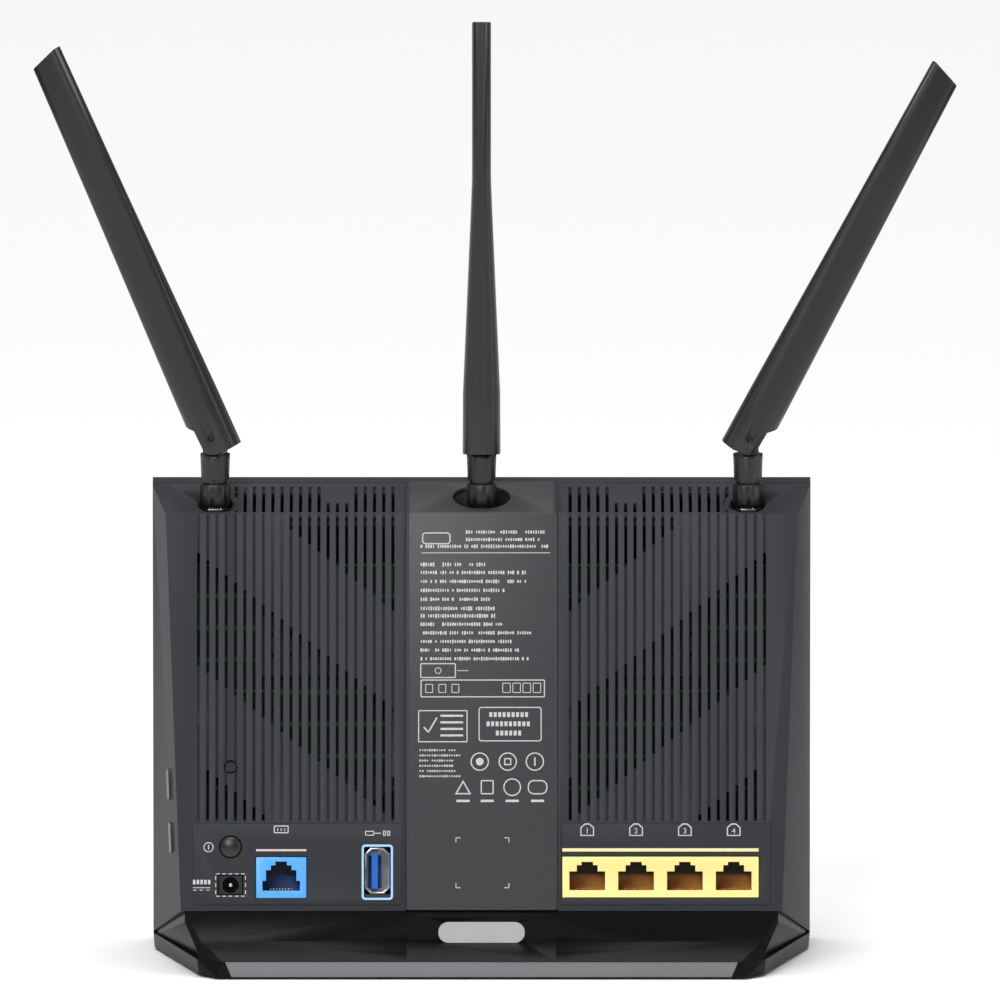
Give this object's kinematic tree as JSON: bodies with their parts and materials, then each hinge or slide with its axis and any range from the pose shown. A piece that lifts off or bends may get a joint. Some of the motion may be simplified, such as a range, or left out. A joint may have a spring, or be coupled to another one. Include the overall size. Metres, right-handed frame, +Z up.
{
  "type": "wireless router",
  "caption": "Upright wireless router on a wide foot, with hinged swivelling antennas on top, slotted vents and a row of ports and buttons on its leaning back.",
  "frame": {"origin": "on the table under the middle of the foot, which is the underside of the middle rubber pad", "axes": "+Z up; +X to the right as seen from behind, where the ports are; the ports face -Y and the plain front faces +Y"},
  "size_m": [0.3102, 0.0834, 0.3184],
  "materials": {
    "shell": "fine texture",
    "foot": "polished",
    "fascia": "polished",
    "trim": "satin",
    "badge": "satin",
    "rubber": "matte",
    "steel": "bright",
    "gold": "bright",
    "board": "satin",
    "chip": "satin",
    "heatsink": "satin",
    "jack_yellow": "satin",
    "jack_blue": "satin",
    "jack_black": "satin",
    "capacitor": "satin",
    "lens": "clear",
    "cable": "satin",
    "antenna": "satin"
  },
  "bodies": {
    "chassis": {"rear_cover": "shell", "front_cover": "shell", "front_fascia": "fascia", "rear_centre_panel": "shell", "stand_base": "foot", "stand_bottom_cover": "shell", "stand_rear_trim": "trim", "name_badge": "badge", "light_guide": "lens", "rubber_feet": "rubber", "case_screws": "steel", "power_switch": "chip", "tact_switches": "chip", "dc_jack": "jack_black", "dc_jack_pin": "steel", "dsl_jack": "jack_blue", "dsl_contacts": "gold", "lan_jack": "jack_yellow", "lan_contacts": "gold", "usb_shell": "steel", "usb_tongue": "jack_blue", "usb_contacts": "gold", "main_board": "board", "heatsink_front": "heatsink", "heatsink_rear": "heatsink", "processor": "chip", "radio_shields": "steel", "memory_chips": "chip", "lan_transformers": "chip", "capacitors": "capacitor", "board_screws": "steel", "led_board": "board", "status_leds": "lens", "led_cable": "cable", "antenna_jacks": "gold", "jack_nuts": "gold", "antenna_pigtails": "cable", "antenna_plugs": "gold"},
    "power_key": {"power_button": "shell"},
    "reset_key": {"reset_button": "shell"},
    "wps_key": {"wps_button": "shell"},
    "wifi_key": {"wifi_button": "shell"},
    "left_nut_ring": {"left_nut": "antenna"},
    "left_swivel": {"left_collar": "antenna"},
    "left_blade": {"left_pin": "steel", "left_blade_rear": "antenna", "left_blade_front": "antenna", "left_radiator": "board"},
    "centre_nut_ring": {"centre_nut": "antenna"},
    "centre_swivel": {"centre_collar": "antenna"},
    "centre_blade": {"centre_pin": "steel", "centre_blade_rear": "antenna", "centre_blade_front": "antenna", "centre_radiator": "board"},
    "right_nut_ring": {"right_nut": "antenna"},
    "right_swivel": {"right_collar": "antenna"},
    "right_blade": {"right_pin": "steel", "right_blade_rear": "antenna", "right_blade_front": "antenna", "right_radiator": "board"}
  },
  "joints": [
    {"name": "power_press", "type": "slide", "parent": "chassis", "child": "power_key", "axis": [0, 0.9793, -0.2025], "range_m": [0, 0.0025], "stiffness_N_per_m": 120, "springref_m": -0.0005},
    {"name": "reset_press", "type": "slide", "parent": "chassis", "child": "reset_key", "axis": [0, 0.9793, -0.2025], "range_m": [0, 0.0008], "stiffness_N_per_m": 250, "springref_m": -0.0004},
    {"name": "wps_press", "type": "slide", "parent": "chassis", "child": "wps_key", "axis": [1, 0, 0], "range_m": [0, 0.0006], "stiffness_N_per_m": 250, "springref_m": -0.0004},
    {"name": "wifi_press", "type": "slide", "parent": "chassis", "child": "wifi_key", "axis": [1, 0, 0], "range_m": [0, 0.0006], "stiffness_N_per_m": 250, "springref_m": -0.0004},
    {"name": "left_nut_turn", "type": "hinge", "parent": "chassis", "child": "left_nut_ring", "pos_m": [-0.0896, 0.0065, 0.15741], "axis": [0, 0, 1], "continuous": true},
    {"name": "left_swivel_turn", "type": "hinge", "parent": "chassis", "child": "left_swivel", "pos_m": [-0.0896, 0.0065, 0.16542], "axis": [0, 0, 1], "range_deg": [-90, 90]},
    {"name": "left_tilt", "type": "hinge", "parent": "left_swivel", "child": "left_blade", "pos_m": [-0.0896, 0.0065, 0.17741], "axis": [-0.2164, -0.9763, 0], "range_deg": [-24.3, 65.7]},
    {"name": "centre_nut_turn", "type": "hinge", "parent": "chassis", "child": "centre_nut_ring", "pos_m": [0, 0.0065, 0.15741], "axis": [0, 0, 1], "continuous": true},
    {"name": "centre_swivel_turn", "type": "hinge", "parent": "chassis", "child": "centre_swivel", "pos_m": [0, 0.0065, 0.16542], "axis": [0, 0, 1], "range_deg": [-60, 60]},
    {"name": "centre_tilt", "type": "hinge", "parent": "centre_swivel", "child": "centre_blade", "pos_m": [0, 0.0065, 0.17741], "axis": [-1, 0, 0], "range_deg": [0, 90]},
    {"name": "right_nut_turn", "type": "hinge", "parent": "chassis", "child": "right_nut_ring", "pos_m": [0.0896, 0.0065, 0.15741], "axis": [0, 0, 1], "continuous": true},
    {"name": "right_swivel_turn", "type": "hinge", "parent": "chassis", "child": "right_swivel", "pos_m": [0.0896, 0.0065, 0.16542], "axis": [0, 0, 1], "range_deg": [-90, 90]},
    {"name": "right_tilt", "type": "hinge", "parent": "right_swivel", "child": "right_blade", "pos_m": [0.0896, 0.0065, 0.17741], "axis": [-0.0523, 0.9986, 0], "range_deg": [-28, 62]}
  ]
}
